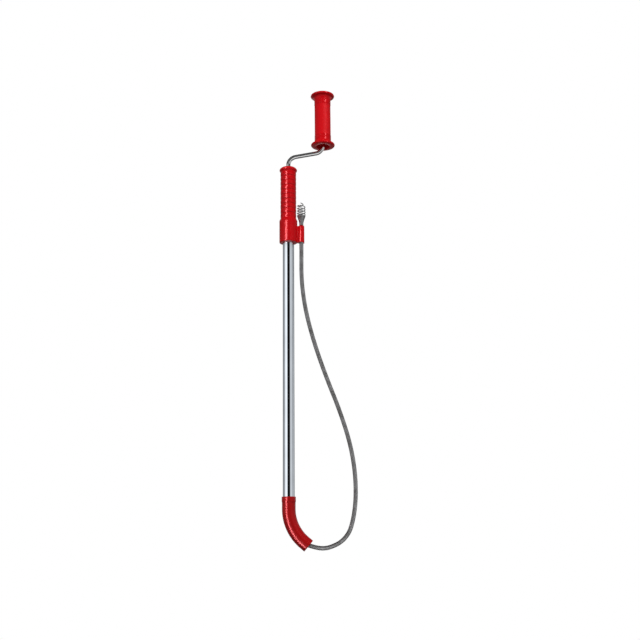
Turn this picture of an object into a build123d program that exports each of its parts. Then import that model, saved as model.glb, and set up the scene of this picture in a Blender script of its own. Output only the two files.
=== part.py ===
from build123d import *
import math
import os

# Closet auger, in millimetres, stored with its cable looped up into the clip on the tube grip.
# Origin on the guide tube's axis, halfway along the bare tube between boot guard and tube grip.
# +Z runs up the tube to the crank, +X from the tube to the cable clip.

# Fits
push_gap = 0.1          # radial, between pieces pushed or screwed together
running_gap = 0.08      # radial, where one piece turns or slides on another
end_float = 0.3         # between end faces that turn against each other

# Guide tube, straight down to a bend that leads into its mouth
tube_d = 25.4
tube_wall = 1.2
bare_tube = 558.0       # from the boot guard's top to the tube grip's lower end
bend_drop = 25.0        # from the boot guard's top to the start of the bend
bend_r = 90.0
bend_deg = 50.0

# Boot guard, a vinyl sleeve over the bend
boot_wall = 1.6
boot_lip_h = 11.0
boot_lip_wall = 2.2
boot_nose = 12.0        # how far the guard reaches past the end of the tube
nose_bore_d = 23.0
boot_round = 1.0

# Tube grip with its cable clip
collar_d = 39.8
collar_h = 51.0
taper_h = 6.0
grip_d = 34.0
rib_count = 10
rib_pitch = 11.0
rib_height = 0.5
bead_d = 39.4
bead_h = 10.0
bead_top_d = 30.4       # the bead's flat top face
grip_end_wall = 3.0
grip_end_hole_d = 20.0
clip_x = 29.0
clip_h = 38.0
clip_wall = 3.2
clip_arm_w = 9.0
clip_gap = 0.3          # between the clip and the cable it holds
clip_mouth_w = 7.8
clip_reach = 6.6        # from the cable's axis to the tips of the jaws
clip_round = 0.8

# Top bush
bush_h = 28.0
bush_flange_h = 3.0
bush_pin_d = 3.0
bush_pin_drop = 12.0    # below the tube's top
bush_pin_bite = 3.0     # how far each pin enters the bush

# Crank shaft
rod_d = 9.5
crank_throw = 79.0
crank_bend_r = 20.0
crank_rise_deg = 10.0
crank_corner = 24.4     # from the tube grip's top to where shaft and arm axes cross
rod_chamfer = 1.0

# Pieces on the shaft's lower end
coupling_d = 15.0
coupling_h = 36.0
coupling_clear = 3.0    # from the coupling, at its lowest, to the tube's bend
rod_seat = 16.0         # length of shaft inside the coupling
collar_gap = 3.0
stop_d = 18.0
stop_h = 12.0
pin_d = 3.0
bumper_d = 19.6
bumper_h = 5.0
screw_d = 5.0
screw_pitch = 8.0
screw_socket_d = 2.5

# Crank grip and what holds it on the shaft
spool_body_d = 37.0
spool_flange_d = 54.0
spool_flange_h = 6.0
spool_h = 126.4
spool_flare_h = 10.0
spool_drop = 3.0        # from the end of the shaft's bend down to the grip's lower face
panel_margin = 26.0
panel_depth = 0.4
lower_recess_h = 10.0
upper_recess_h = 14.0
recess_d = 30.0
core_wall = 2.2
washer_d = 20.0
washer_h = 1.5
ledge_d = 13.0
ledge_h = 2.0
push_nut_d = 16.0
push_nut_h = 3.2
rod_tip = 2.0           # length of shaft past the push nut
cap_d = 34.0
cap_plug_h = 5.0
cap_crown_h = 2.0

# Cable
cable_d = 9.5
head_d = 20.4
head_cone_h = 23.0
head_barrel_h = 22.0
head_nose_h = 10.0
head_tip_d = 8.0
head_gap = 1.0          # from the clip to the end of the cable

# Points of the free cable's route, (x, z), from the guard's mouth round to the top of the clip
route = [
    (43.0, -379.5),
    (60.0, -385.2),
    (80.5, -385.4),
    (104.5, -376.0),
    (119.0, -363.5),
    (129.0, -346.0),
    (138.0, -308.0),
    (141.5, -265.0),
    (139.5, -218.0),
    (130.0, -163.0),
    (109.0, -96.0),
    (81.0, -24.0),
    (56.0, 50.0),
    (37.5, 122.0),
    (28.5, 191.0),
    (29.0, 256.0),
    (29.0, 318.0),
]

# Radii and heights that several pieces share
tube_r = tube_d / 2
bore_r = tube_r - tube_wall
rod_r = rod_d / 2
cable_r = cable_d / 2
boot_top = -bare_tube / 2
bend_top = boot_top - bend_drop
grip_low = bare_tube / 2
ribs_low = grip_low + collar_h + taper_h
ribs_high = ribs_low + rib_count * rib_pitch
grip_top = ribs_high + bead_h
tube_top = grip_top - grip_end_wall - bush_flange_h - 2 * push_gap
coupling_low = bend_top + coupling_clear
coupling_high = coupling_low + coupling_h
rod_low = coupling_high - rod_seat
stop_low = coupling_high + collar_gap
stop_high = stop_low + stop_h
corner_low = grip_top + crank_corner
corner_high = corner_low + crank_throw * math.tan(math.radians(crank_rise_deg))
bend_reach = crank_bend_r * math.tan(math.radians(90 - crank_rise_deg) / 2)
spool_low = corner_high + bend_reach - spool_drop
spool_high = spool_low + spool_h
core_low = spool_low + lower_recess_h
core_high = spool_high - upper_recess_h
nut_low = core_high + end_float + washer_h
rod_high = nut_low + push_nut_h + rod_tip


def post(radius, low, high):
    """Upright round bar on the tube's axis."""
    return Pos(0, 0, (low + high) / 2) * Cylinder(radius, high - low)


def ring(outer, inner, low, high):
    """Upright round bar with a hole through it."""
    return post(outer, low, high) - post(inner, low - 1, high + 1)


def cross_bar(radius, z, start, end, direction=(1, 0, 0)):
    """Round bar lying across the tube's axis at height z, from start to end along direction."""
    across = Vector(*direction)
    base = Plane(origin=across * start + Vector(0, 0, z), z_dir=across)
    return base * Cylinder(radius, end - start, align=(Align.CENTER, Align.CENTER, Align.MIN))


def bend_end():
    """Plane across the end of the tube's bend, facing out of the mouth."""
    turn = math.radians(bend_deg)
    origin = (bend_r * (1 - math.cos(turn)), 0, bend_top - bend_r * math.sin(turn))
    return Plane(origin=origin, z_dir=(math.sin(turn), 0, -math.cos(turn)))


def bent_bar(radius, top, tail):
    """Round bar along the tube's axis: down from top, round the bend, then straight on for tail."""
    bend_axis = Axis((bend_r, 0, bend_top), (0, -1, 0))
    bar = post(radius, bend_top, top)
    bar += revolve(Pos(0, 0, bend_top) * Circle(radius), bend_axis, revolution_arc=bend_deg)
    if tail > 0:
        bar += bend_end() * Cylinder(radius, tail, align=(Align.CENTER, Align.CENTER, Align.MIN))
    return bar


def turned(*edges):
    """Solid of revolution about +Z from edges drawn as (radius, height)."""
    outline = Curve() + [Plane.XZ * edge for edge in edges]
    return revolve(make_face(outline.edges()), Axis.Z)


def guide_tube():
    """Chromed steel tube, with two holes near its top for the bush pins."""
    tube = bent_bar(tube_r, tube_top, 0) - bent_bar(bore_r, tube_top + 1, 1)
    pin_z = tube_top - bush_pin_drop
    return tube - cross_bar(bush_pin_d / 2 + push_gap, pin_z, -tube_r - 1, tube_r + 1)


def boot_guard():
    """Vinyl sleeve over the bend, with a lip at its top and a shoulder that the tube ends on."""
    sleeve_r = tube_r + push_gap
    boot_r = sleeve_r + boot_wall
    guard = bent_bar(boot_r, boot_top, boot_nose)
    lip = post(sleeve_r + boot_lip_wall, boot_top - boot_lip_h, boot_top)
    guard += fillet(lip.edges().filter_by(GeomType.CIRCLE), boot_round * 0.5)
    guard -= bent_bar(sleeve_r, boot_top + 1, 0)
    guard -= bent_bar(nose_bore_d / 2, boot_top + 1, boot_nose + 1)
    mouth = bend_end().offset(boot_nose).origin
    return fillet(guard.edges().sort_by_distance(mouth)[:2], boot_round)


def tube_grip():
    """Moulded grip: plain collar, ribbed hand hold and end bead, with the cable clip on the collar."""
    hole_r = tube_r + push_gap
    body_r = grip_d / 2
    inner = [(body_r, ribs_low), (collar_d / 2, ribs_low - taper_h), (collar_d / 2, grip_low)]
    inner += [(hole_r, grip_low), (hole_r, grip_top - grip_end_wall)]
    inner += [(grip_end_hole_d / 2, grip_top - grip_end_wall), (grip_end_hole_d / 2, grip_top)]
    inner += [(bead_top_d / 2, grip_top)]
    edges = [Polyline(*inner)]
    for rib in range(rib_count):
        low = ribs_low + rib * rib_pitch
        crest = (body_r + rib_height, low + rib_pitch / 2)
        edges.append(ThreePointArc((body_r, low), crest, (body_r, low + rib_pitch)))
    crest = (bead_d / 2, (ribs_high + grip_top) / 2)
    edges.append(ThreePointArc((body_r, ribs_high), crest, (bead_top_d / 2, grip_top)))
    return turned(*edges) + cable_clip() - post(hole_r, grip_low - 1, grip_top - grip_end_wall)


def cable_clip():
    """Open C on an arm from the collar, gripping the cable and letting it out towards +X."""
    hold_r = cable_r + clip_gap
    clip_r = hold_r + clip_wall
    plan = Pos(clip_x / 2, 0) * Rectangle(clip_x, clip_arm_w) + Pos(clip_x, 0) * Circle(clip_r)
    plan -= Pos(clip_x, 0) * Circle(hold_r)
    plan -= Pos(clip_x + clip_r, 0) * Rectangle(2 * clip_r, clip_mouth_w)
    plan -= Pos(clip_x + clip_reach + clip_r, 0) * Rectangle(2 * clip_r, 4 * clip_r)
    tips = plan.vertices().filter_by_position(Axis.X, clip_x + clip_reach, clip_x + clip_reach)
    plan = fillet(tips, clip_round)
    return Pos(0, 0, grip_low) * extrude(plan, clip_h)


def top_bush():
    """Nylon bush in the tube's top that the shaft turns and slides in."""
    flange_low = tube_top + push_gap
    bush = post(bore_r - push_gap, tube_top - bush_h, flange_low + bush_flange_h)
    bush += post(tube_r, flange_low, flange_low + bush_flange_h)
    bush -= post(rod_r + running_gap, tube_top - bush_h - 1, grip_top)
    pocket = bush_pin_d / 2 + push_gap
    pocket_end = bore_r - bush_pin_bite - push_gap
    for side in (1, -1):
        bush -= cross_bar(pocket, tube_top - bush_pin_drop, pocket_end, tube_r, (side, 0, 0))
    return bush


def bush_pins():
    """Two short pins through the tube wall that keep the bush in."""
    pins = Part()
    for side in (1, -1):
        pins += cross_bar(bush_pin_d / 2, tube_top - bush_pin_drop, bore_r - bush_pin_bite, tube_r,
                          (side, 0, 0))
    return pins


def crank_path(low, high):
    """Axis of the shaft: up the tube, out along the arm and up through the crank grip."""
    corners = [(0, 0, low), (0, 0, corner_low), (crank_throw, 0, corner_high), (crank_throw, 0, high)]
    return FilletPolyline(*corners, radius=crank_bend_r)


def crank_shaft():
    """Steel rod bent into a crank, with a forged ledge that the crank grip's lower washer sits on."""
    path = crank_path(rod_low, rod_high)
    rod = sweep(Plane(origin=path @ 0, z_dir=path % 0) * Circle(rod_r), path=path)
    tip = rod.faces().sort_by(Axis.Z)[-1]
    rod = chamfer(tip.edges(), rod_chamfer)
    ledge_top = core_low - end_float - washer_h
    rod += Pos(crank_throw, 0, 0) * post(ledge_d / 2, ledge_top - ledge_h, ledge_top)
    rod -= cross_bar(pin_d / 2 + push_gap, stop_pin_z(), -rod_d, rod_d)
    return rod - cross_bar(pin_d / 2 + push_gap, coupling_pin_z(), -rod_d, rod_d)


def stop_pin_z():
    return (stop_low + stop_high) / 2


def coupling_pin_z():
    return coupling_high - rod_seat / 2


def stop_collar():
    """Steel collar pinned to the shaft; it ends the crank's upward travel under the bush."""
    collar = ring(stop_d / 2, rod_r + push_gap, stop_low, stop_high)
    return collar - cross_bar(pin_d / 2 + push_gap, stop_pin_z(), -stop_d, stop_d)


def stop_pin():
    """Roll pin through collar and shaft."""
    return cross_bar(pin_d / 2, stop_pin_z(), -stop_d / 2, stop_d / 2)


def stop_bumper():
    """Rubber washer loose on the shaft above the collar, which softens the upper stop."""
    low = stop_high + push_gap
    return ring(bumper_d / 2, rod_r + running_gap, low, low + bumper_h)


def screw_heights():
    """Heights of the two set screws, centred on the cable's end in the coupling."""
    middle = (coupling_low + rod_low) / 2
    return [middle - screw_pitch / 2, middle + screw_pitch / 2]


def cable_coupling():
    """Steel sleeve that joins the shaft to the cable."""
    sleeve = post(coupling_d / 2, coupling_low, coupling_high)
    sleeve -= post(rod_r + push_gap, rod_low - push_gap, coupling_high + 1)
    sleeve -= post(cable_r + push_gap, coupling_low - 1, rod_low - push_gap)
    sleeve -= cross_bar(pin_d / 2 + push_gap, coupling_pin_z(), -coupling_d, coupling_d)
    for z in screw_heights():
        sleeve -= cross_bar(screw_d / 2 + push_gap, z, 0, coupling_d, (0, -1, 0))
    return sleeve


def coupling_pin():
    """Roll pin through coupling and shaft."""
    return cross_bar(pin_d / 2, coupling_pin_z(), -coupling_d / 2, coupling_d / 2)


def coupling_screws():
    """Two socket set screws that clamp the cable's end."""
    screws = Part()
    for z in screw_heights():
        screw = cross_bar(screw_d / 2, z, cable_r + push_gap, coupling_d / 2, (0, -1, 0))
        screws += screw - cross_bar(screw_socket_d / 2, z, coupling_d / 2 - 1, coupling_d, (0, -1, 0))
    return screws


def cable_shank():
    """The cable's upper end, clamped in the coupling."""
    return post(cable_r, coupling_low, rod_low - push_gap)


def on_crank(shape):
    """Move a shape from the tube's axis to the crank grip's axis."""
    return Pos(crank_throw, 0, 0) * shape


def crank_grip():
    """Spool-shaped moulded grip with flared ends and a shallow textured panel round its middle."""
    body_r = spool_body_d / 2
    rim_r = (spool_flange_d - spool_flange_h) / 2
    panel_r = body_r - panel_depth

    def half(face, inward):
        """Flange, flare and plain end of one half; inward is +1 for the lower end, -1 for the upper."""
        rim_in = face + inward * spool_flange_h
        flare_in = rim_in + inward * spool_flare_h
        rim = ThreePointArc((rim_r, face), (spool_flange_d / 2, (face + rim_in) / 2), (rim_r, rim_in))
        flare_r = body_r + (rim_r - body_r) * 0.29
        flare = ThreePointArc((rim_r, rim_in), (flare_r, rim_in + inward * spool_flare_h * 0.29),
                              (body_r, flare_in))
        panel = face + inward * panel_margin
        step = Polyline((body_r, flare_in), (body_r, panel), (panel_r, panel + inward * panel_depth))
        return [rim, flare, step]

    panel_ends = (spool_low + panel_margin + panel_depth, spool_high - panel_margin - panel_depth)
    side = Line((panel_r, panel_ends[0]), (panel_r, panel_ends[1]))
    closing = Polyline((rim_r, spool_low), (0, spool_low), (0, spool_high), (rim_r, spool_high))
    grip = turned(*half(spool_low, 1), side, *half(spool_high, -1), closing)
    grip -= post(recess_d / 2, spool_low - 1, core_low)
    grip -= post(recess_d / 2, core_high, spool_high + 1)
    return on_crank(grip - post(core_r() + push_gap, core_low - 1, core_high + 1))


def core_r():
    """Outer radius of the sleeve inside the crank grip."""
    return rod_r + running_gap + core_wall


def grip_core():
    """Steel sleeve moulded into the crank grip, which turns on the shaft."""
    return on_crank(ring(core_r(), rod_r + running_gap, core_low, core_high))


def lower_washer():
    """Washer between the shaft's ledge and the grip's sleeve."""
    low = core_low - end_float - washer_h
    return on_crank(ring(washer_d / 2, rod_r + push_gap, low, low + washer_h))


def upper_washer():
    """Washer between the grip's sleeve and the push nut."""
    low = core_high + end_float
    return on_crank(ring(washer_d / 2, rod_r + push_gap, low, low + washer_h))


def push_nut():
    """Domed push-on nut that keeps the grip on the shaft."""
    nut = post(push_nut_d / 2, nut_low, nut_low + push_nut_h)
    nut = fillet(nut.edges().sort_by(Axis.Z)[-1], push_nut_h * 0.6)
    return on_crank(nut - post(rod_r + push_gap, nut_low - 1, nut_low + push_nut_h + 1))


def grip_cap():
    """Crowned plug that closes the top of the crank grip."""
    plug = post(recess_d / 2 - push_gap, spool_high - cap_plug_h, spool_high)
    crown = post(cap_d / 2, spool_high, spool_high + cap_crown_h)
    crown = fillet(crown.edges().sort_by(Axis.Z)[-1], cap_crown_h * 0.9)
    return on_crank(plug + crown)


def cable_inner():
    """The stretch of cable from the coupling round the tube's bend to the guard's mouth."""
    mouth = Vector(route[0][0], 0, route[0][1])
    heading = Vector(route[1][0], 0, route[1][1]) - mouth
    reach = mouth.X * heading.length / heading.X
    corner = Vector(0, 0, mouth.Z - heading.Z * mouth.X / heading.X)
    arc_r = reach / math.tan(math.radians(heading.get_angle(Vector(0, 0, -1))) / 2)
    print("cable inside the bend: radius", round(arc_r, 1))
    start = Vector(0, 0, corner.Z + reach)
    top = post(cable_r, start.Z, coupling_low - end_float)
    arc_axis = Axis((arc_r, 0, start.Z), (0, -1, 0))
    turn = heading.get_angle(Vector(0, 0, -1))
    return top + revolve(Pos(0, 0, start.Z) * Circle(cable_r), arc_axis, revolution_arc=turn)


def cable_loop():
    """The free cable, from the guard's mouth down, round and up through the clip."""
    points = [Vector(x, 0, z) for x, z in route]
    radii = []
    for before, at, after in zip(points, points[1:], points[2:]):
        run_in = at - before
        run_out = after - at
        turn = math.radians(run_in.get_angle(run_out))
        radii.append(0.45 * min(run_in.length, run_out.length) / math.tan(turn / 2))
    path = FilletPolyline(*points, radius=radii)
    tube = sweep(Plane(origin=path @ 0, z_dir=path % 0) * Circle(cable_r), path=path)
    expected = math.pi * cable_r**2 * path.length
    print("free cable: length", round(path.length, 1), "radii", [round(r) for r in radii])
    print("free cable: volume over section times length", round(tube.volume / expected, 5))
    return tube


def auger_head():
    """Bulb head: the cable's end wound out into a cone, a barrel and a blunt nose."""
    low = grip_low + clip_h + head_gap + end_float
    barrel_low = low + head_cone_h
    barrel_high = barrel_low + head_barrel_h
    top = barrel_high + head_nose_h
    outline = Polyline((0, top), (0, low), (cable_r, low), (head_d / 2, barrel_low),
                       (head_d / 2, barrel_high), (head_tip_d / 2, top), (0, top))
    return Pos(clip_x, 0, 0) * turned(outline)


makers = [
    guide_tube, boot_guard, tube_grip, top_bush, bush_pins, cable_inner, cable_loop,
    stop_bumper, crank_shaft, stop_collar, stop_pin, cable_coupling, coupling_pin, coupling_screws,
    cable_shank, lower_washer, upper_washer, push_nut, crank_grip, grip_core, grip_cap, auger_head,
]

os.makedirs("parts", exist_ok=True)
for maker in makers:
    export_step(maker(), f"parts/{maker.__name__}.step")
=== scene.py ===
import math

import bmesh
import bpy
import numpy as np
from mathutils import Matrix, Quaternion, Vector


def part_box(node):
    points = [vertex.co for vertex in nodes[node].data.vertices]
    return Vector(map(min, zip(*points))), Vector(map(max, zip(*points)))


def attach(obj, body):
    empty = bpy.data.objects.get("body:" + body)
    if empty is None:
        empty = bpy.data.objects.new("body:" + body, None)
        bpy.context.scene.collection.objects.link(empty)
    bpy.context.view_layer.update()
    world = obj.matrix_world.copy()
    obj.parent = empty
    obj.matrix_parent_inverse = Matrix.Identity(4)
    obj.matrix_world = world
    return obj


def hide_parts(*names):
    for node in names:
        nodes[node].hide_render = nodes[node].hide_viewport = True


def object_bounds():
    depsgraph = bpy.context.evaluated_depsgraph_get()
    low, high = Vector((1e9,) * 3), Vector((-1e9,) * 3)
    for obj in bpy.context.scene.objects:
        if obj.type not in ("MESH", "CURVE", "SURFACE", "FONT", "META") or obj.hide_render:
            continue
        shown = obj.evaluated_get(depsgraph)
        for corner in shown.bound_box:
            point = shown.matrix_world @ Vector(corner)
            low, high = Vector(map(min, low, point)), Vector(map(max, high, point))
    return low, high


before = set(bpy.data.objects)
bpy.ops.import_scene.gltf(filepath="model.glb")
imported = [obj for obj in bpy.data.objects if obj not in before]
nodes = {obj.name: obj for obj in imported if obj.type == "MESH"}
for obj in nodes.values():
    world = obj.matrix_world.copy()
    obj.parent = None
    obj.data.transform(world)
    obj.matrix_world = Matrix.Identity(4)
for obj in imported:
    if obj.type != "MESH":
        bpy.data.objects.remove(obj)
cad_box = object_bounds()


# Camera: level with the tool's lower end and a little to its right, about two metres in front.
# It looks up by thirteen degrees through a fairly long lens, so the tool's underside shows.
camera_data = bpy.data.cameras.new("camera")
camera_data.sensor_width = 36.0
camera_data.lens = 55.6
camera = bpy.data.objects.new("camera", camera_data)
bpy.context.scene.collection.objects.link(camera)
bpy.context.scene.camera = camera
aim = Vector((0.069, 0.0, 0.102))
look_up = math.radians(13.0)
roll = math.radians(-0.5)
camera_distance = 2.165
toward = Vector((0.0, math.cos(look_up), math.sin(look_up)))
camera.location = aim - toward * camera_distance
camera.rotation_mode = "QUATERNION"
camera.rotation_quaternion = toward.to_track_quat("-Z", "Y") @ Quaternion((0, 0, 1), roll)


# Free cable: a flexible shaft of hard-drawn spring wire, wound turn against turn, so that it
# can be pushed and turned round a trap. It springs out of the mouth and is bent up to the clip.
route = [
    (0.0430, -0.3795), (0.0600, -0.3852), (0.0805, -0.3854), (0.1045, -0.3760), (0.1190, -0.3635),
    (0.1300, -0.3460), (0.1388, -0.3080), (0.1417, -0.2650), (0.1393, -0.2180), (0.1297, -0.1630),
    (0.1090, -0.0960), (0.0810, -0.0240), (0.0560, 0.0500), (0.0375, 0.1220), (0.0285, 0.1910),
    (0.0290, 0.2560), (0.0290, 0.3168),
]
cable_d = 0.0095
wire_d = 0.0021
wire_pitch = 0.0020
steps_in_turn = 14
dull_steel = (0.31, 0.305, 0.30)
bright_steel = (0.54, 0.54, 0.55)
oil_and_painted_shade = (0.02, 0.018, 0.016, 1)


def curve_line(name, points, kind="POLY", thick=0.0, sides=6):
    """Curve object through points, or drawn by them if NURBS; round in section if it has a thickness."""
    data = bpy.data.curves.new(name, "CURVE")
    data.dimensions = "3D"
    spline = data.splines.new(kind)
    spline.points.add(len(points) - 1)
    for point, place in zip(spline.points, points):
        point.co = (*place, 1.0)
    if kind == "NURBS":
        spline.order_u = 3
        spline.use_endpoint_u = True
        spline.resolution_u = 24
    data.bevel_depth = thick / 2
    data.bevel_resolution = (sides - 4) // 2
    data.use_fill_caps = True
    item = bpy.data.objects.new(name, data)
    bpy.context.scene.collection.objects.link(item)
    return item


def as_mesh(item):
    """Swap a curve object for its mesh."""
    depsgraph = bpy.context.evaluated_depsgraph_get()
    mesh = bpy.data.meshes.new_from_object(item.evaluated_get(depsgraph))
    name = item.name
    bpy.data.objects.remove(item)
    mesh.name = name
    piece = bpy.data.objects.new(name, mesh)
    bpy.context.scene.collection.objects.link(piece)
    return piece


def even_points(places, step):
    """Points at an even step along a line of places, the last one included."""
    places = np.array(places)
    gone = np.concatenate([[0.0], np.cumsum(np.linalg.norm(np.diff(places, axis=0), axis=1))])
    count = max(2, int(round(gone[-1] / step)) + 1)
    at = np.linspace(0.0, gone[-1], count)
    return np.stack([np.interp(at, gone, places[:, axis]) for axis in range(3)], axis=1)


def winding(name, centres, radii, turns, thick, sides=8):
    """Round wire wound about a line of centres in the XZ plane; its outer side is marked 1."""
    heading = np.gradient(centres, axis=0)
    heading /= np.linalg.norm(heading, axis=1)[:, None]
    depth = np.tile([0.0, 1.0, 0.0], (len(centres), 1))
    across = np.cross(heading, depth)
    angle = np.array(turns)[:, None] * 2 * math.pi
    middles = centres + (across * np.cos(angle) + depth * np.sin(angle)) * np.array(radii)[:, None]
    piece = as_mesh(curve_line(name, middles.tolist(), thick=thick, sides=sides))
    spots = np.array([v.co for v in piece.data.vertices])
    nearest = np.minimum(np.arange(len(spots)) // sides, len(centres) - 1)
    reach = np.linalg.norm(spots - centres[nearest], axis=1) - np.array(radii)[nearest]
    mark = piece.data.attributes.new("outward", "FLOAT", "POINT")
    mark.data.foreach_set("value", (0.5 + reach / thick).astype(np.float32))
    whole = bmesh.new()
    whole.from_mesh(piece.data)
    bmesh.ops.remove_doubles(whole, verts=whole.verts, dist=thick * 0.001)
    bmesh.ops.recalc_face_normals(whole, faces=whole.faces)
    whole.to_mesh(piece.data)
    whole.free()
    piece.data.shade_smooth()
    return piece


def new_material(name):
    """Empty node material with a Principled shader."""
    material = bpy.data.materials.new(name)
    material.use_nodes = True
    return material, material.node_tree, material.node_tree.nodes["Principled BSDF"]


def add(tree, kind, inputs=(), **settings):
    """Add a node, set its properties and inputs, and join inputs that are sockets."""
    node = tree.nodes.new(kind)
    for key, value in settings.items():
        setattr(node, key, value)
    for key, value in dict(inputs).items():
        if isinstance(value, bpy.types.NodeSocket):
            tree.links.new(value, node.inputs[key])
        else:
            node.inputs[key].default_value = value
    return node


def ramp(tree, source, stops):
    """Colour ramp with stops of (place, grey or colour)."""
    node = add(tree, "ShaderNodeValToRGB", {"Fac": source})
    while len(node.color_ramp.elements) < len(stops):
        node.color_ramp.elements.new(0.5)
    for element, (place, colour) in zip(node.color_ramp.elements, stops):
        element.position = place
        element.color = (colour,) * 3 + (1,) if isinstance(colour, float) else (*colour, 1)
    return node.outputs["Color"]


def wire_steel():
    """Drawn spring wire: dull steel, darkened between the turns by oil and by painted shade."""
    material, tree, shader = new_material("wound_spring_wire")
    outward = add(tree, "ShaderNodeAttribute", attribute_name="outward").outputs["Fac"]
    place = add(tree, "ShaderNodeTexCoord").outputs["Object"]
    stain = add(tree, "ShaderNodeTexNoise", {"Vector": place, "Scale": 60.0, "Detail": 4.0})
    steel = ramp(tree, stain.outputs["Fac"], [(0.30, dull_steel), (0.70, bright_steel)])
    # Painted shade: towards the inner side of each turn, between the turns, the steel fades to the dark oil
    # colour.
    outer_unshaded = ramp(tree, outward, [(0.35, 0.0), (0.80, 1.0)])
    colour = add(tree, "ShaderNodeMix", {"Factor": outer_unshaded, "A": oil_and_painted_shade, "B": steel}, data_type="RGBA")
    tree.links.new(colour.outputs["Result"], shader.inputs["Base Color"])
    rough = ramp(tree, stain.outputs["Fac"], [(0.30, 0.50), (0.70, 0.34)])
    tree.links.new(rough, shader.inputs["Roughness"])
    shader.inputs["Metallic"].default_value = 1.0
    return material


route_line = curve_line("route", [(x, 0.0, z) for x, z in route], kind="NURBS")
route_piece = as_mesh(route_line)
along = [tuple(v.co) for v in route_piece.data.vertices]
bpy.data.objects.remove(route_piece)
centres = even_points(along, wire_pitch / steps_in_turn)
turn_at = np.arange(len(centres)) / steps_in_turn
helix_r = (cable_d - wire_d) / 2
cable = winding("cable", centres, np.full(len(centres), helix_r), turn_at, wire_d)
wound_wire = wire_steel()
cable.data.materials.append(wound_wire)
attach(cable, "guide")
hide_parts("cable_loop")


# Auger head: the same wire opened out into a cone and an open barrel, closed in at the top and
# ended in a cut tip, which hooks into what blocks the drain.
head_low, head_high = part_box("auger_head")
head_x = (head_low.x + head_high.x) / 2
head_r = (head_high.x - head_low.x) / 2
cone_turns = 11
barrel_turns = 4
nose_turns = 0.85
cone_h = 0.0235
barrel_h = 0.0235
straight_share = 0.25
cone_flare = 1.3
barrel_clear = 0.0004
barrel_narrowing = 0.0006
nose_narrowing = 0.80
nose_curl = 0.8
cone_top = head_low.z + cone_h
barrel_top = cone_top + barrel_h
tip_top = head_high.z - wire_d / 2
barrel_r = head_r - wire_d / 2 - barrel_clear
head_points = []
head_radii = []
head_turns = []
head_steps = 28
for step in range(int((cone_turns + barrel_turns + nose_turns) * head_steps) + 1):
    turn = step / head_steps
    if turn < cone_turns:
        share = turn / cone_turns
        height = head_low.z + wire_d / 2 + (cone_top - head_low.z - wire_d / 2) * share
        flare = max(0.0, (share - straight_share) / (1 - straight_share))**cone_flare
        radius = helix_r + (barrel_r - helix_r) * flare
    elif turn < cone_turns + barrel_turns:
        share = (turn - cone_turns) / barrel_turns
        height = cone_top + (barrel_top - cone_top) * share
        radius = barrel_r - barrel_narrowing * share**2
    else:
        share = (turn - cone_turns - barrel_turns) / nose_turns
        height = barrel_top + (tip_top - barrel_top) * share
        radius = (barrel_r - barrel_narrowing) * (1 - nose_narrowing * share**nose_curl)
    head_points.append((head_x, 0.0, height))
    head_radii.append(radius)
    head_turns.append(turn)
head = winding("bulb_head", np.array(head_points), head_radii, head_turns, wire_d, sides=12)
head.data.materials.append(wound_wire)
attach(head, "head")
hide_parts("auger_head")


# Guide tube: welded steel tube, an inch across, bent at its lower end and bright chrome plated.
# Polishing before the plating leaves a faint haze and fine marks along it.
def chrome(name, tint, scratch):
    """Bright plating, hazy in patches and finely marked lengthways up to the roughness given."""
    material, tree, shader = new_material(name)
    place = add(tree, "ShaderNodeTexCoord").outputs["Object"]
    long = add(tree, "ShaderNodeMapping", {"Vector": place, "Scale": (900.0, 900.0, 6.0)}).outputs["Vector"]
    rub = add(tree, "ShaderNodeTexNoise", {"Vector": long, "Scale": 1.0, "Detail": 3.0})
    haze = add(tree, "ShaderNodeTexNoise", {"Vector": place, "Scale": 25.0, "Detail": 4.0})
    colour = ramp(tree, haze.outputs["Fac"], [(0.35, tuple(0.93 * c for c in tint)), (0.65, tint)])
    tree.links.new(colour, shader.inputs["Base Color"])
    both = add(tree, "ShaderNodeMath", {0: rub.outputs["Fac"], 1: haze.outputs["Fac"]}, operation="MULTIPLY")
    rough = ramp(tree, both.outputs["Value"], [(0.15, 0.03), (0.45, scratch)])
    tree.links.new(rough, shader.inputs["Roughness"])
    shader.inputs["Metallic"].default_value = 1.0
    return material


def dress(node, material):
    """Give a node of the frame its material."""
    mesh = nodes[node].data
    mesh.materials.clear()
    mesh.materials.append(material)


cool_chrome = (0.85, 0.91, 0.98)
dress("guide_tube", chrome("tube_chrome", cool_chrome, scratch=0.08))


# Boot guard: thin sleeve of soft vinyl with a thicker lip at its top. It is made straight and
# pushed over the tube's bend, where it keeps the tube from scratching the bowl.
sharp_angle = math.radians(38)


def turned(name, outline, centre_x=0.0, steps=128, soft_edge=0.0008, on_axis=False):
    """Piece turned about an upright line from (radius, height) points, its corners rounded."""
    form = bmesh.new()
    places = [form.verts.new((centre_x + radius, 0.0, height)) for radius, height in outline]
    lines = [form.edges.new(pair) for pair in zip(places, places[1:])]
    if not on_axis:
        lines.append(form.edges.new((places[-1], places[0])))
    bmesh.ops.spin(form, geom=places + lines, cent=(centre_x, 0, 0), axis=(0, 0, 1), angle=2 * math.pi,
                   steps=steps, use_merge=True)
    bmesh.ops.remove_doubles(form, verts=form.verts, dist=0.000001)
    bmesh.ops.recalc_face_normals(form, faces=form.faces)
    rims = [edge for edge in form.edges if edge.calc_face_angle(0) > sharp_angle
            and abs(edge.verts[0].co.z - edge.verts[1].co.z) < 0.00001]
    bmesh.ops.bevel(form, geom=rims, offset=soft_edge, segments=3, profile=0.5, affect="EDGES",
                    material=-1, clamp_overlap=True)
    return as_piece(name, form)


def as_piece(name, form):
    """Object from a bmesh, smooth except at its sharp edges."""
    mesh = bpy.data.meshes.new(name)
    form.to_mesh(mesh)
    form.free()
    mesh.shade_smooth()
    mesh.set_sharp_from_angle(angle=sharp_angle)
    piece = bpy.data.objects.new(name, mesh)
    bpy.context.scene.collection.objects.link(piece)
    return piece


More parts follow.
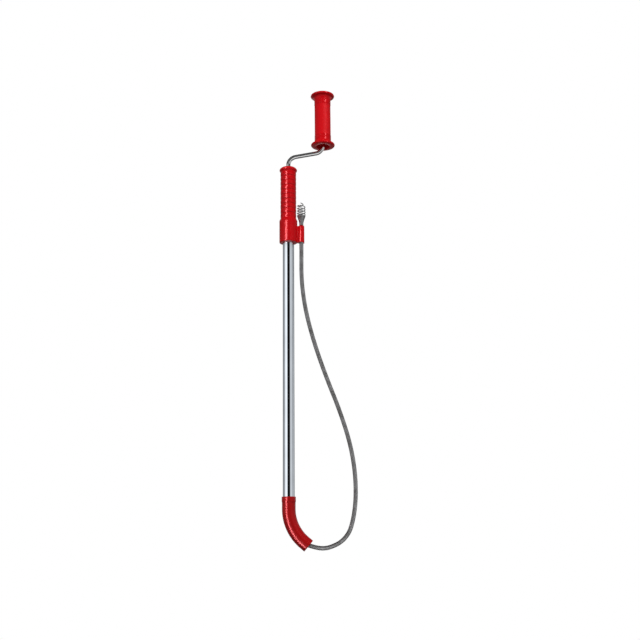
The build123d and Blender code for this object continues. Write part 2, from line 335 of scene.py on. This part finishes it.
def levels(start, end, step):
    """Heights from start to end at an even step near the one asked for."""
    count = max(1, round(abs(end - start) / step))
    return [start + (end - start) * index / count for index in range(count + 1)]


# Painted shade: the dark red laid into the tube grip's rib grooves.
groove_shade_red = (0.16, 0.004, 0.005, 1)
red_gloss = (1.0, 0.22, 0.24, 1)


def red_plastic(name, colour, rough, grain, grain_scale):
    """Glossy red with cloudy colour and gloss and a fine grain, darkened by painted shade where the mesh's
    shade mark is 1.
    """
    material, tree, shader = new_material(name)
    place = add(tree, "ShaderNodeTexCoord").outputs["Object"]
    cloud = add(tree, "ShaderNodeTexNoise", {"Vector": place, "Scale": 35.0, "Detail": 5.0})
    tone = ramp(tree, cloud.outputs["Fac"], [(0.3, tuple(0.88 * c for c in colour)), (0.7, colour)])
    # Painted shade is mixed into the colour where the shade mark is set.
    groove_shade = add(tree, "ShaderNodeAttribute", attribute_name="groove_shade").outputs["Fac"]
    shade = add(tree, "ShaderNodeMix", {"Factor": groove_shade, "A": tone, "B": groove_shade_red}, data_type="RGBA")
    tree.links.new(shade.outputs["Result"], shader.inputs["Base Color"])
    fine = add(tree, "ShaderNodeTexNoise", {"Vector": place, "Scale": grain_scale, "Detail": 2.0})
    bump = add(tree, "ShaderNodeBump", {"Height": fine.outputs["Fac"], "Strength": grain,
                                        "Distance": 0.00002})
    tree.links.new(bump.outputs["Normal"], shader.inputs["Normal"])
    sheen = ramp(tree, cloud.outputs["Fac"], [(0.3, rough + 0.05), (0.7, rough)])
    tree.links.new(sheen, shader.inputs["Roughness"])
    shader.inputs["Specular Tint"].default_value = red_gloss
    return material


tube_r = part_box("guide_tube")[1].y
boot_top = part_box("boot_guard")[1].z
sleeve_gap = 0.0001
boot_wall = 0.0016
lip_wall = 0.0022
lip_h = 0.011
lip_slope = 0.0006
straight_h = 0.025
bend_r = 0.090
bend_angle = math.radians(50.0)
nose_h = 0.012
nose_r = 0.0115
ring_step = 0.0025
first_ring = 0.003
bore_edge = 0.002
vinyl_colour = (0.55, 0.009, 0.010)
sleeve_r = tube_r + sleeve_gap
boot_r = sleeve_r + boot_wall
lip_r = sleeve_r + lip_wall
lip_low = boot_top - lip_h
bend_top = boot_top - straight_h
tube_end = bend_top - bend_r * bend_angle
nose_low = tube_end - nose_h
boot_outline = [(sleeve_r, boot_top), (lip_r, boot_top), (lip_r, lip_low), (boot_r, lip_low - lip_slope)]
boot_outline += [(boot_r, height) for height in levels(lip_low - first_ring, nose_low, ring_step)]
boot_outline += [(nose_r, nose_low), (nose_r, tube_end)]
boot_outline += [(sleeve_r, height) for height in levels(tube_end, boot_top - bore_edge, ring_step)]
boot = turned("boot_sleeve", boot_outline, steps=96)
# The straight sleeve follows the tube round its bend, and runs on straight past it.
for vertex in boot.data.vertices:
    spot = vertex.co
    if spot.z < bend_top:
        turn = min((bend_top - spot.z) / bend_r, bend_angle)
        past = (bend_top - spot.z) - turn * bend_r
        lean = bend_r - spot.x
        spot.x = bend_r - lean * math.cos(turn) + past * math.sin(turn)
        spot.z = bend_top - lean * math.sin(turn) - past * math.cos(turn)
boot.data.materials.append(red_plastic("guard_vinyl", vinyl_colour, rough=0.17, grain=0.3, grain_scale=500.0))
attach(boot, "guide")
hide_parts("boot_guard")


# Tube grip: hard red plastic, moulded in one piece with its cable clip and glued on the tube.
# It has ten shallow ribs for the hand, a bead at the top and a plain collar at the bottom.
def parting_line(piece, centre_x, least_r, height=0.00012, width=0.0004):
    """Fine raised line down both sides of a moulded piece, where its mould closed."""
    form = bmesh.new()
    form.from_mesh(piece.data)
    for side in (-1, 1):
        everything = list(form.verts) + list(form.edges) + list(form.faces)
        bmesh.ops.bisect_plane(form, geom=everything, dist=0.000001, plane_co=(0, side * width / 2, 0),
                               plane_no=(0, 1, 0))
    for vertex in form.verts:
        reach = vertex.co.x - centre_x
        if abs(vertex.co.y) < width / 8 and abs(reach) > least_r:
            vertex.co.x += math.copysign(height, reach)
    form.to_mesh(piece.data)
    form.free()


def cut_or_join(piece, other, operation):
    """Exact boolean of two pieces; returns the new piece."""
    modifier = piece.modifiers.new(operation.lower(), "BOOLEAN")
    modifier.object = other
    modifier.operation = operation
    modifier.solver = "EXACT"
    result = as_mesh(piece)
    bpy.data.objects.remove(other)
    return result


def block(name, low, high):
    """Square block between two corners."""
    form = bmesh.new()
    bmesh.ops.create_cube(form, size=1.0)
    middle = (Vector(low) + Vector(high)) / 2
    bmesh.ops.scale(form, verts=form.verts, vec=Vector(high) - Vector(low))
    bmesh.ops.translate(form, verts=form.verts, vec=middle)
    return as_piece(name, form)


def upright_bar(name, radius, centre_x, low, high):
    """Round bar between two heights."""
    form = bmesh.new()
    bmesh.ops.create_cone(form, cap_ends=True, segments=96, radius1=radius, radius2=radius, depth=high - low)
    bmesh.ops.translate(form, verts=form.verts, vec=(centre_x, 0, (low + high) / 2))
    return as_piece(name, form)


grip_low, grip_top = (corner.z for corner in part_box("tube_grip"))
grip_r = 0.0170
collar_r = -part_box("tube_grip")[0].x
collar_h = 0.051
taper_h = 0.006
rib_pitch = 0.011
rib_h = 0.0005
rib_count = 10
rib_steps = 10
rib_flatness = 3.5
bead_r = 0.0197
bead_flat_r = 0.0152
bead_steps = 12
end_hole_r = 0.010
end_wall = 0.003
collar_ring = 0.006
collar_top = grip_low + collar_h
ribs_low = collar_top + taper_h
ribs_high = ribs_low + rib_count * rib_pitch
grip_outline = [(sleeve_r, grip_low), (collar_r, grip_low)]
grip_outline += [(collar_r, height) for height in levels(grip_low + collar_ring / 2, collar_top, collar_ring)]
for rib in range(rib_count):
    for step in range(rib_steps):
        share = step / rib_steps
        swell = 1 - abs(2 * share - 1)**rib_flatness
        grip_outline.append((grip_r + rib_h * swell, ribs_low + (rib + share) * rib_pitch))
for step in range(bead_steps + 1):
    share = step / bead_steps
    chord_r = grip_r + (bead_flat_r - grip_r) * share
    bulge = (bead_r - (grip_r + bead_flat_r) / 2) * (1 - (2 * share - 1)**2)
    grip_outline.append((chord_r + bulge, ribs_high + (grip_top - ribs_high) * share))
grip_outline += [(end_hole_r, grip_top), (end_hole_r, grip_top - end_wall), (sleeve_r, grip_top - end_wall)]
grip = turned("tube_grip_moulding", grip_outline)
parting_line(grip, centre_x=0.0, least_r=0.0160)

clip_x = 0.029
hold_r = 0.00505
clip_r = 0.00825
jaw_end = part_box("tube_grip")[1].x
clip_h = 0.038
arm_w = 0.009
arm_root = 0.0145
mouth_w = 0.0078
clip_edge = 0.0006
corner_angle = math.radians(30)
root_hidden_to = 0.0165
clip_top = grip_low + clip_h
cut_low = grip_low - 0.01
cut_high = clip_top + 0.01
cut_half_w = 0.02
mouth_cut_end = 0.05
jaw_cut_end = 0.06
clip = block("clip", (arm_root, -arm_w / 2, grip_low), (clip_x, arm_w / 2, clip_top))
clip = cut_or_join(clip, upright_bar("clip_back", clip_r, clip_x, grip_low, clip_top), "UNION")
clip = cut_or_join(clip, upright_bar("hold", hold_r, clip_x, cut_low, cut_high), "DIFFERENCE")
mouth_cut = block("mouth", (clip_x, -mouth_w / 2, cut_low), (mouth_cut_end, mouth_w / 2, cut_high))
clip = cut_or_join(clip, mouth_cut, "DIFFERENCE")
jaw_cut = block("past_jaws", (jaw_end, -cut_half_w, cut_low), (jaw_cut_end, cut_half_w, cut_high))
clip = cut_or_join(clip, jaw_cut, "DIFFERENCE")
rounded = bmesh.new()
rounded.from_mesh(clip.data)
bmesh.ops.remove_doubles(rounded, verts=rounded.verts, dist=0.00001)
bmesh.ops.dissolve_limit(rounded, angle_limit=math.radians(0.5), verts=rounded.verts, edges=rounded.edges)
corners = [edge for edge in rounded.edges if edge.calc_face_angle(0) > corner_angle
           and max(v.co.x for v in edge.verts) > root_hidden_to]
bmesh.ops.bevel(rounded, geom=corners, offset=clip_edge, segments=3, profile=0.5, affect="EDGES",
                material=-1, clamp_overlap=True)
rounded.to_mesh(clip.data)
rounded.free()
grip = cut_or_join(grip, clip, "UNION")
grip.data.shade_smooth()
grip.data.set_sharp_from_angle(angle=sharp_angle)
# Painted shade: the groove bottoms between the ribs are marked for the darker red.
groove_shade_level = 0.8
bright_red = (0.70, 0.004, 0.008)
groove_shade_mark = grip.data.attributes.new("groove_shade", "FLOAT", "POINT")
for vertex, mark in zip(grip.data.vertices, groove_shade_mark.data):
    reach = math.hypot(vertex.co.x, vertex.co.y)
    in_ribs = ribs_low - 0.0001 < vertex.co.z < ribs_high + 0.0001
    mark.value = groove_shade_level if in_ribs and grip_r - 0.0002 < reach < grip_r + 0.00005 else 0.0
grip_red = red_plastic("grip_red", bright_red, rough=0.21, grain=0.3, grain_scale=900.0)
grip.data.materials.append(grip_red)
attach(grip, "guide")
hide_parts("tube_grip")


# Top bush: turned from natural nylon, pushed into the tube's upper end under the grip's end wall
# and held there by two short zinc-plated steel pins.
def plain_stuff(name, colour, metallic, rough, scale):
    """Even finish with a cloudy colour and roughness; scale sets the size of the clouds."""
    material, tree, shader = new_material(name)
    place = add(tree, "ShaderNodeTexCoord").outputs["Object"]
    cloud = add(tree, "ShaderNodeTexNoise", {"Vector": place, "Scale": scale, "Detail": 4.0})
    tone = ramp(tree, cloud.outputs["Fac"], [(0.3, tuple(0.8 * c for c in colour)), (0.7, colour)])
    tree.links.new(tone, shader.inputs["Base Color"])
    finish = ramp(tree, cloud.outputs["Fac"], [(0.3, rough + 0.1), (0.7, rough)])
    tree.links.new(finish, shader.inputs["Roughness"])
    shader.inputs["Metallic"].default_value = metallic
    return material


zinc = plain_stuff("zinc_plate", (0.60, 0.60, 0.58), metallic=1.0, rough=0.32, scale=300.0)
nylon = plain_stuff("natural_nylon", (0.72, 0.70, 0.62), metallic=0.0, rough=0.42, scale=120.0)
dress("top_bush", nylon)
dress("bush_pins", zinc)


# Crank shaft and its lower end: plated bar bent twice, with a pinned stop collar, a rubber
# bumper, and the sleeve whose two set screws clamp the cable's end.
grey_plating = (0.82, 0.82, 0.82)
dress("crank_shaft", chrome("rod_plating", grey_plating, scratch=0.10))
for name in ("stop_collar", "stop_pin", "cable_coupling", "coupling_pin"):
    dress(name, zinc)
black_oxide = plain_stuff("black_oxide", (0.03, 0.03, 0.035), metallic=0.9, rough=0.4, scale=300.0)
dress("coupling_screws", black_oxide)
rubber = plain_stuff("black_rubber", (0.02, 0.02, 0.02), metallic=0.0, rough=0.6, scale=200.0)
dress("stop_bumper", rubber)
clamped_wire = plain_stuff("clamped_wire", (0.30, 0.30, 0.30), metallic=1.0, rough=0.42, scale=200.0)
dress("cable_inner", clamped_wire)
dress("cable_shank", clamped_wire)


# Crank grip: hollow-ended spool of hard red plastic moulded on a steel sleeve, which turns on
# the shaft between two washers under a push-on nut. Its middle has a fine-grained panel.
spool_corner, spool_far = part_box("crank_grip")
crank_x = (spool_corner.x + spool_far.x) / 2
spool_low = spool_corner.z
spool_high = spool_far.z
flange_r = spool_far.y
flange_h = 0.006
rim_r = flange_r - flange_h / 2
rim_steps = 9
flare_steps = 8
body_ring = 0.003
panel_ring = 0.006
flare_h = 0.010
body_r = 0.0185
panel_depth = 0.0004
panel_margin = 0.026
recess_r = 0.015
lower_recess_h = 0.010
upper_recess_h = 0.014
core_r = 0.00713
light_red = (0.80, 0.006, 0.011)
half_outline = []
for step in range(1, rim_steps):
    turn = math.pi * step / rim_steps
    half_outline.append((rim_r + flange_h / 2 * math.sin(turn), flange_h / 2 * (1 - math.cos(turn))))
for step in range(flare_steps + 1):
    turn = math.pi / 2 * step / flare_steps
    half_outline.append((body_r + (rim_r - body_r) * (1 - math.sin(turn)),
                         flange_h + flare_h * (1 - math.cos(turn))))
half_outline += [(body_r, height) for height in levels(flange_h + flare_h, panel_margin, body_ring)[1:]]
half_outline.append((body_r - panel_depth, panel_margin + panel_depth))
spool_outline = [(recess_r, spool_low), (rim_r, spool_low)]
spool_outline += [(radius, spool_low + height) for radius, height in half_outline]
panel_low = spool_low + panel_margin + panel_depth
panel_high = spool_high - panel_margin - panel_depth
spool_outline += [(body_r - panel_depth, height)
                  for height in levels(panel_low, panel_high, panel_ring)[1:-1]]
spool_outline += [(radius, spool_high - height) for radius, height in reversed(half_outline)]
spool_outline += [(rim_r, spool_high), (recess_r, spool_high), (recess_r, spool_high - upper_recess_h)]
spool_outline += [(core_r, spool_high - upper_recess_h), (core_r, spool_low + lower_recess_h)]
spool_outline += [(recess_r, spool_low + lower_recess_h)]
spool = turned("crank_grip_moulding", spool_outline, crank_x, soft_edge=0.0006)
parting_line(spool, centre_x=crank_x, least_r=0.0175)
spool.data.materials.append(grip_red)
panel_red = red_plastic("panel_red", light_red, rough=0.50, grain=1.0, grain_scale=1300.0)
spool.data.materials.append(panel_red)
for face in spool.data.polygons:
    middle = face.center
    reach = math.hypot(middle.x - crank_x, middle.y)
    if panel_low < middle.z < panel_high and reach > recess_r:
        face.material_index = 1
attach(spool, "spool")
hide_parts("crank_grip")
for name in ("grip_core", "lower_washer", "upper_washer", "push_nut"):
    dress(name, zinc)


# Grip cap: low plug of the same red plastic, pressed into the crank grip's upper end to hide
# the push-on nut. It has a rounded rim and a slightly crowned top.
cap_corner, cap_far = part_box("grip_cap")
cap_low = cap_corner.z
cap_top = cap_far.z
cap_r = cap_far.y
plug_gap = 0.0001
cap_rim = 0.0018
cap_crown = 0.0002
cap_steps = 8
plug_r = recess_r - plug_gap
cap_outline = [(0.0, cap_low), (plug_r, cap_low), (plug_r, spool_high), (cap_r, spool_high)]
for step in range(1, cap_steps + 1):
    turn = math.pi / 2 * step / cap_steps
    cap_outline.append((cap_r - cap_rim * (1 - math.cos(turn)),
                        cap_top - cap_rim * (1 - math.sin(turn)) - cap_crown * (1 - step / cap_steps)))
cap_outline += [(cap_r * 0.5, cap_top), (0.0, cap_top)]
cap = turned("grip_cap_moulding", cap_outline, crank_x, soft_edge=0.0003, on_axis=True)
cap.data.materials.append(grip_red)
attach(cap, "spool")
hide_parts("grip_cap")


# Backdrop and floor: white surroundings and a pale floor below the tool, which only the camera
# sees. The floor fades into the white, so it has no horizon. The world adds a faint even light.
scene = bpy.context.scene
scene.view_settings.view_transform = "Standard"
world = bpy.data.worlds.new("studio")
scene.world = world
world.use_nodes = True
sky = world.node_tree.nodes["Background"]
path = add(world.node_tree, "ShaderNodeLightPath")
ambient = add(world.node_tree, "ShaderNodeMapRange",
              {"Value": path.outputs["Is Diffuse Ray"], "To Min": 0.05, "To Max": 0.20})
world.node_tree.links.new(ambient.outputs["Result"], sky.inputs["Strength"])
sky.inputs["Color"].default_value = (1.0, 1.0, 1.0, 1)


def seen_by(item, camera_sees=False, gloss_sees=False):
    """Limit which rays meet a stage piece; it throws no shadow and no diffuse light."""
    item.visible_camera = camera_sees
    item.visible_glossy = gloss_sees
    item.visible_diffuse = False
    item.visible_transmission = False
    item.visible_shadow = False


def stage_piece(name, form, material):
    """Object of the stage from a bmesh."""
    mesh = bpy.data.meshes.new(name)
    form.to_mesh(mesh)
    form.free()
    mesh.materials.append(material)
    item = bpy.data.objects.new(name, mesh)
    scene.collection.objects.link(item)
    return item


def glow(name, strength, aimed=False):
    """Emission of a number, or of a socket made by a function; an aimed light is clear as well."""
    material = bpy.data.materials.new(name)
    material.use_nodes = True
    material.cycles.emission_sampling = "FRONT_BACK" if aimed else "NONE"
    tree = material.node_tree
    tree.nodes.remove(tree.nodes["Principled BSDF"])
    value = strength if isinstance(strength, float) else strength(tree)
    light = add(tree, "ShaderNodeEmission", {"Color": (1, 1, 1, 1), "Strength": value}).outputs["Emission"]
    if aimed:
        clear = add(tree, "ShaderNodeBsdfTransparent").outputs["BSDF"]
        light = add(tree, "ShaderNodeAddShader", {0: light, 1: clear}).outputs["Shader"]
    tree.links.new(light, tree.nodes["Material Output"].inputs["Surface"])
    return material


backdrop_r = 30.0
shell = bmesh.new()
bmesh.ops.create_icosphere(shell, subdivisions=3, radius=backdrop_r)
seen_by(stage_piece("backdrop", shell, glow("white_backdrop", 1.0)), camera_sees=True)

floor_r = 20.0
floor_drop = 0.36
floor_grey = (0.86, 0.86, 0.86, 1)
pane = bmesh.new()
bmesh.ops.create_circle(pane, cap_ends=True, segments=96, radius=floor_r)
bmesh.ops.translate(pane, verts=pane.verts, vec=(0, 0, cad_box[0].z - floor_drop))
floor_material, tree, shader = new_material("pale_floor")
floor_material.cycles.emission_sampling = "NONE"
place = add(tree, "ShaderNodeTexCoord").outputs["Object"]
flat = add(tree, "ShaderNodeVectorMath", {0: place, 1: (0.5, 0.5, 0)}, operation="MULTIPLY")
far = add(tree, "ShaderNodeVectorMath", {0: flat.outputs["Vector"]}, operation="LENGTH")
fade = ramp(tree, far.outputs["Value"], [(0.1, 0.55), (0.9, 1.0)])
shader.inputs["Base Color"].default_value = floor_grey
shader.inputs["Roughness"].default_value = 0.7
light = add(tree, "ShaderNodeEmission", {"Color": (1, 1, 1, 1), "Strength": 1.0})
mix = add(tree, "ShaderNodeMixShader", {0: fade, 1: shader.outputs["BSDF"], 2: light.outputs["Emission"]})
tree.links.new(mix.outputs["Shader"], tree.nodes["Material Output"].inputs["Surface"])
seen_by(stage_piece("floor", pane, floor_material), camera_sees=True)


# Light tent: an upright drum round the tool that only gloss sees. Its stripes are given as
# azimuth, from the camera's side and positive to its right, and brightness.
tent_r = 3.0
tent_h = 11.0
tent_low = -1.0
tent_high = 4.0
stripe_span = 364
stripes = [(-180, 0.90), (-165, 0.90), (-155, 0.30), (-125, 0.30), (-86, 0.20), (-76, 0.90), (-50, 1.0),
           (-28, 1.2), (-20, 0.15), (-14, 0.005), (24, 0.005), (32, 0.50), (40, 0.66), (62, 0.66), (76, 0.47),
           (130, 0.47), (150, 0.30), (158, 0.02), (172, 0.02), (180, 0.90)]


def tent_brightness(tree):
    """Stripes up to what the tube mirrors; a dimmer front above it, and a bright sheet below."""
    place = add(tree, "ShaderNodeTexCoord").outputs["Object"]
    split = add(tree, "ShaderNodeSeparateXYZ", {"Vector": place})
    front = add(tree, "ShaderNodeMath", {0: split.outputs["Y"], 1: -1.0}, operation="MULTIPLY")
    angle = add(tree, "ShaderNodeMath", {0: split.outputs["X"], 1: front.outputs["Value"]},
                operation="ARCTAN2")
    turn = add(tree, "ShaderNodeMapRange", {"Value": angle.outputs["Value"], "From Min": -math.pi,
                                            "From Max": math.pi})
    share = turn.outputs["Result"]
    low = ramp(tree, share, [((deg + stripe_span / 2) / stripe_span, level) for deg, level in stripes])
    height = add(tree, "ShaderNodeMapRange", {"Value": split.outputs["Z"], "From Min": tent_low,
                                              "From Max": tent_high})
    bar = ramp(tree, height.outputs["Result"], [(0.46, 0.02), (0.60, 0.08), (1.0, 0.05)])
    ahead = ramp(tree, share, [(0.38, 0.0), (0.44, 1.0), (0.58, 1.0), (0.64, 0.0)])
    high = add(tree, "ShaderNodeMath", {0: bar, 1: ahead}, operation="MULTIPLY")
    rest = ramp(tree, share, [(0.30, 0.08), (0.40, 0.02), (0.60, 0.02), (0.66, 0.10)])
    left = ramp(tree, share, [(0.22, 0.25), (0.28, 0.45), (0.51, 0.45), (0.54, 0.0)])
    shaft = ramp(tree, height.outputs["Result"], [(0.520, 0.0), (0.532, 1.0), (0.575, 1.0), (0.595, 0.0)])
    patch = add(tree, "ShaderNodeMath", {0: left, 1: shaft}, operation="MULTIPLY")
    front_and_sides = add(tree, "ShaderNodeMath", {0: high.outputs["Value"], 1: rest}, operation="ADD")
    upper = add(tree, "ShaderNodeMath", {0: front_and_sides.outputs["Value"], 1: patch.outputs["Value"]},
                operation="ADD")
    zone = ramp(tree, height.outputs["Result"], [(0.440, 0.0), (0.452, 1.0)])
    both = add(tree, "ShaderNodeMix", {"Factor": zone, "A": low, "B": upper.outputs["Value"]})
    ground = ramp(tree, height.outputs["Result"], [(0.09, 1.0), (0.13, 0.0)])
    sheet = ramp(tree, share, [(0.27, 0.10), (0.36, 0.85), (0.64, 0.85), (0.73, 0.10)])
    whole = add(tree, "ShaderNodeMix", {"Factor": ground, "A": both.outputs["Result"], "B": sheet})
    return whole.outputs["Result"]


tent = bmesh.new()
bmesh.ops.create_cone(tent, segments=96, radius1=tent_r, radius2=tent_r, depth=tent_h)
seen_by(stage_piece("light_tent", tent, glow("tent_cloth", tent_brightness)), gloss_sees=True)


# Strip lights: tall narrow lights just inside the tent, each lighting only the pieces named for
# it. They draw the long highlights on the red plastic and lift the cable's outer side.
def tent_strip(name, strength, rows, lit):
    """Upright light from rows of (height, azimuth, width), for the pieces in lit alone."""
    form = bmesh.new()
    strip_r = tent_r - 0.05
    edges = []
    for height, azimuth, width in rows:
        pair = []
        for side in (-0.5, 0.5):
            turn = math.radians(azimuth + width * side)
            pair.append(form.verts.new((math.sin(turn) * strip_r, -math.cos(turn) * strip_r, height)))
        edges.append(form.edges.new(pair))
    for lower, upper in zip(edges, edges[1:]):
        bmesh.ops.bridge_loops(form, edges=[lower, upper])
    item = stage_piece(name, form, glow(name + "_light", strength, aimed=True))
    seen_by(item, gloss_sees=True)
    item.light_linking.receiver_collection = bpy.data.collections.new(name + "_receivers")
    for piece in lit:
        item.light_linking.receiver_collection.objects.link(piece)


tent_strip("left_strip", 27.0, [(-0.3, -42, 16), (1.3, -25, 17), (1.75, -23, 15)], (grip,))
tent_strip("low_left_strip", 19.0, [(-3.0, -46, 26), (-0.8, -41, 20), (0.6, -36, 18)], (boot,))
tent_strip("right_strip", 16.0, [(2.0, 42, 16), (3.4, 42, 16)], (spool, cap))
tent_strip("wire_strip", 0.6, [(-3.0, 62, 36), (3.0, 62, 36)], (cable, head))


# Panels: four large square lamps for the soft light on everything that isn't gloss, two in
# front, one behind and one above. Azimuth and elevation are in degrees, as seen from the tool.
tool_middle = Vector((0.05, 0.0, 0.12))


def panel(name, azimuth, elevation, distance, size, strength):
    """Square lamp aimed at the tool's middle, which neither the camera nor gloss sees."""
    data = bpy.data.lights.new(name, "AREA")
    data.size = size
    data.energy = strength * math.pi * size**2
    item = bpy.data.objects.new(name, data)
    scene.collection.objects.link(item)
    turn = math.radians(azimuth)
    rise = math.radians(elevation)
    outward = Vector((math.sin(turn) * math.cos(rise), -math.cos(turn) * math.cos(rise), math.sin(rise)))
    item.location = tool_middle + outward * distance
    item.rotation_euler = (-outward).to_track_quat("-Z", "Y").to_euler()
    item.visible_camera = False
    item.visible_glossy = False


panel("left_panel", azimuth=-30.0, elevation=30.0, distance=2.6, size=1.4, strength=3.8)
panel("right_panel", azimuth=40.0, elevation=30.0, distance=2.6, size=1.4, strength=4.2)
panel("back_panel", azimuth=180.0, elevation=20.0, distance=3.0, size=1.8, strength=2.2)
panel("top_panel", azimuth=0.0, elevation=78.0, distance=3.0, size=1.6, strength=1.6)
